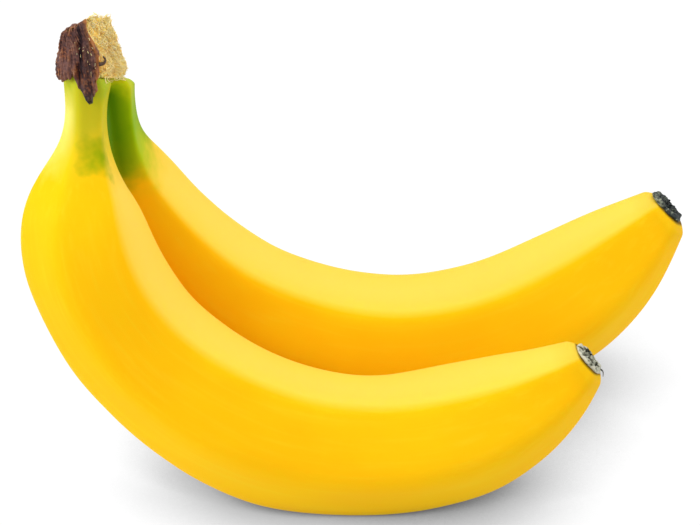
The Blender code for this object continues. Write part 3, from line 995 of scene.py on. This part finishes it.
def cup_scraps(which, radius, height, seed, count):
    """Short broad strands that stand on the rim and bend over it, and a few in the hollow."""
    end, way, side, hollow = (Vector(item) for item in cup_frame(which))
    draw = random.Random(seed)
    shape, straight = start_strands()
    for _ in range(count):
        turn = draw.uniform(0, 2 * math.pi)
        out = draw.uniform(0.25, 1.0)
        around = hollow * math.cos(turn) + side * math.sin(turn)
        sideways = way.cross(around)
        start = end + Vector(SHIFT) + around * radius * out * 0.9 + way * (height * 0.6 - CUP_SINK)
        length = draw.uniform(0.7, 1.7)
        bend = draw.uniform(-1.2, 1.0)
        drift = draw.uniform(-0.8, 0.8)
        line = []
        for share in STRAND_SHARES:
            lift = way * math.sin(share * 1.4) * length * 0.6
            line.append(start + lift + (around * bend + sideways * drift) * share**2 * length * 0.6)
        lay_strand(shape, straight, line, draw.uniform(0.12, 0.25), draw.uniform(1.5, 4), draw.random())
    finish_strands(shape, straight)
    return shape


print("cup rim profile has", len(CUP_PROFILE), "rings")

# %% [markdown]
# The front cup is grey, nearly white on its rim, with dark grooves, and a curled black thread hangs from it.
# The rear one is almost black, with a green cast, and is painted paler on its side towards the hollow of the
# bend, which is painted light. One recipe serves both: noise chooses between the tones of a ramp, and the
# bend of the surface makes its creases darker, which is painted shade.

# %% Cup materials and pieces
def make_dry(name, tones, own_tone, lean):
    made, tree, shader = new_material(name, Roughness=0.62, Specular_IOR_Level=0.35)
    place = node(tree, "TexCoord").outputs["Object"]
    fine = grain(tree, place, 1.3, detail=5, roughness=0.6)
    if own_tone:
        choice = add_shares(tree, stored(tree, "tone"), 0.45, fine, 0.4)
    else:
        # Pointiness makes the creases darker, as painted shade, and the rims paler.
        choice = calculate(tree, "ADD", fine, sticking_out(tree, 2.5))
        # The side towards the hollow of the bend is painted paler: painted light.
        upward = calculate(tree, "MULTIPLY", stored(tree, "upward"), lean)
        choice = calculate(tree, "ADD", choice, upward)
    tree.links.new(ramp(tree, choice, tones), shader.inputs["Base Color"])
    bump(tree, shader, fine, 0.3, 0.8)
    return made


GREY_TONES = (
    (0.38, (0.020, 0.022, 0.010)),
    (0.46, (0.13, 0.13, 0.075)),
    (0.55, (0.33, 0.34, 0.26)),
    (0.68, (0.58, 0.56, 0.43)),
)
DARK_TONES = (
    (0.40, (0.003, 0.006, 0.007)),
    (0.56, (0.012, 0.022, 0.018)),
    (0.67, (0.060, 0.070, 0.048)),
    (0.80, (0.260, 0.280, 0.200)),
)
# Each cup: the fruit, its radius, height, noise seed and crumpling, its tones, the number of scraps, and how
# much painted light it gets towards the hollow of the bend.
CUPS = (
    ("front", (4.5, 1.2, 1, 0.06), GREY_TONES, 18, 0.0),
    ("rear", (5.5, 1.6, 9, 0.07), DARK_TONES, 26, 0.10),
)

for which, size, tones, count, lean in CUPS:
    cup = grow_cup(which, *size)
    cup_finish = make_dry(f"{which}_cup_finish", tones, False, lean)
    finish_piece(cup, f"{which}_cup", cup_finish, [f"{which}_blossom_cup"])
    scraps = cup_scraps(which, *size[:3], count)
    scrap_finish = make_dry(f"{which}_scrap_finish", tones, True, 0)
    finish_piece(scraps, f"{which}_cup_scraps", scrap_finish, ())

end, way, side, hollow = (Vector(item) for item in cup_frame("front"))
start = end + Vector(SHIFT) + way * 0.3 - hollow * 3.9 + side * 1.2
curl, straight = start_strands()
line = []
for share in STRAND_SHARES:
    bow = way * 0.8 * math.sin(share * 2.3)
    line.append(start + bow - hollow * 0.9 * share - Vector((0, 0, 1.9)) * share**2)
lay_strand(curl, straight, line, 0.26, 1.3)
finish_strands(curl, straight)
thread_finish, _, _ = new_material("thread_finish", Roughness=0.5, Base_Color=(0.015, 0.015, 0.006, 1))
finish_piece(curl, "front_cup_thread", thread_finish, ())

# %% [markdown]
# ## Floor and light
# The pair stands on a table that glows white, as a photographer's light table does. The glow sends light up
# into the undersides, and takes away every coloured reflection, so the shadow has to be asked for: ambient
# occlusion tells how much of the sky a spot of the table sees, and a ramp turns that into greys, a little
# darker towards the right, away from the stronger lights. A large soft light above gives the hollow sides
# their sheen. Two smaller ones stand on the left, a weaker one on the right and behind, and a pale room adds
# the rest.

# %% Glowing table
SHADOW_REACH = 0.04
SHADOW_LEAN, LEAN_MOST, LEAN_LEAST = 2.6, 0.085, -0.03
SHADOW_GREYS = (
    (0.0, 0.02), (0.22, 0.25), (0.34, 0.48), (0.45, 0.59),
    (0.55, 0.75), (0.65, 0.90), (0.75, 1.0),
)
FLOOR_SIZE, FLOOR_DROP, FLOOR_GLOW = 3.0, 0.0002, 1.04

floor_shape = bmesh.new()
bmesh.ops.create_grid(floor_shape, x_segments=1, y_segments=1, size=FLOOR_SIZE)
floor_data = bpy.data.meshes.new("floor")
floor_shape.to_mesh(floor_data)
floor_shape.free()
floor = bpy.data.objects.new("floor", floor_data)
floor.location.z = -FLOOR_DROP
bpy.context.scene.collection.objects.link(floor)
floor_finish, tree, shader = new_material(
    "floor_finish", Roughness=0.9, Specular_IOR_Level=0.0, Base_Color=(0, 0, 0, 1)
)
open_sky = node(tree, "AmbientOcclusion", {"Distance": SHADOW_REACH}, samples=16).outputs["AO"]
across = node(tree, "SeparateXYZ", {"Vector": node(tree, "TexCoord").outputs["Object"]}).outputs["X"]
lean = calculate(tree, "MULTIPLY", across, SHADOW_LEAN)
lean = calculate(tree, "MAXIMUM", calculate(tree, "MINIMUM", lean, LEAN_MOST), LEAN_LEAST)
greys = ramp(tree, calculate(tree, "SUBTRACT", open_sky, lean), SHADOW_GREYS)
tree.links.new(greys, shader.inputs["Emission Color"])
shader.inputs["Emission Strength"].default_value = FLOOR_GLOW
floor_data.materials.append(floor_finish)
print("the table glows white, with a soft grey shadow")

# %% [markdown]
# The lights are rectangles. Each is put in its place and turned so that it looks at a spot near the pair:
# a lamp shines along its own downward axis, and the helper finds the turn that brings this axis there.

# %% Lights and room
ROOM_LIGHT = 0.70


def add_light(name, place, aim, size, watts):
    light = bpy.data.objects.new(name, bpy.data.lights.new(name, "AREA"))
    light.data.shape = "RECTANGLE"
    light.data.size, light.data.size_y = size
    light.data.energy = watts
    light.location = place
    light.rotation_euler = (Vector(aim) - Vector(place)).to_track_quat("-Z", "Y").to_euler()
    bpy.context.scene.collection.objects.link(light)


add_light("top_light", (0.0, 0.05, 0.85), (0, 0, 0.04), (0.75, 0.55), 2.85)
add_light("low_left_light", (-1.0, -0.1, 0.15), (0, 0, 0.05), (0.3, 0.8), 4.2)
add_light("right_light", (0.9, 0.35, 0.35), (0, 0, 0.08), (0.5, 0.5), 2.0)
add_light("high_left_light", (-0.6, -0.5, 0.9), (0, 0, 0.04), (0.5, 0.5), 3.7)

world = bpy.data.worlds.new("pale_room")
bpy.context.scene.world = world
world.use_nodes = True
sky = world.node_tree.nodes["Background"]
sky.inputs["Color"].default_value = (1, 1, 1, 1)
sky.inputs["Strength"].default_value = ROOM_LIGHT
bpy.context.scene.view_settings.view_transform = "Standard"
print("four soft lights and a pale room")
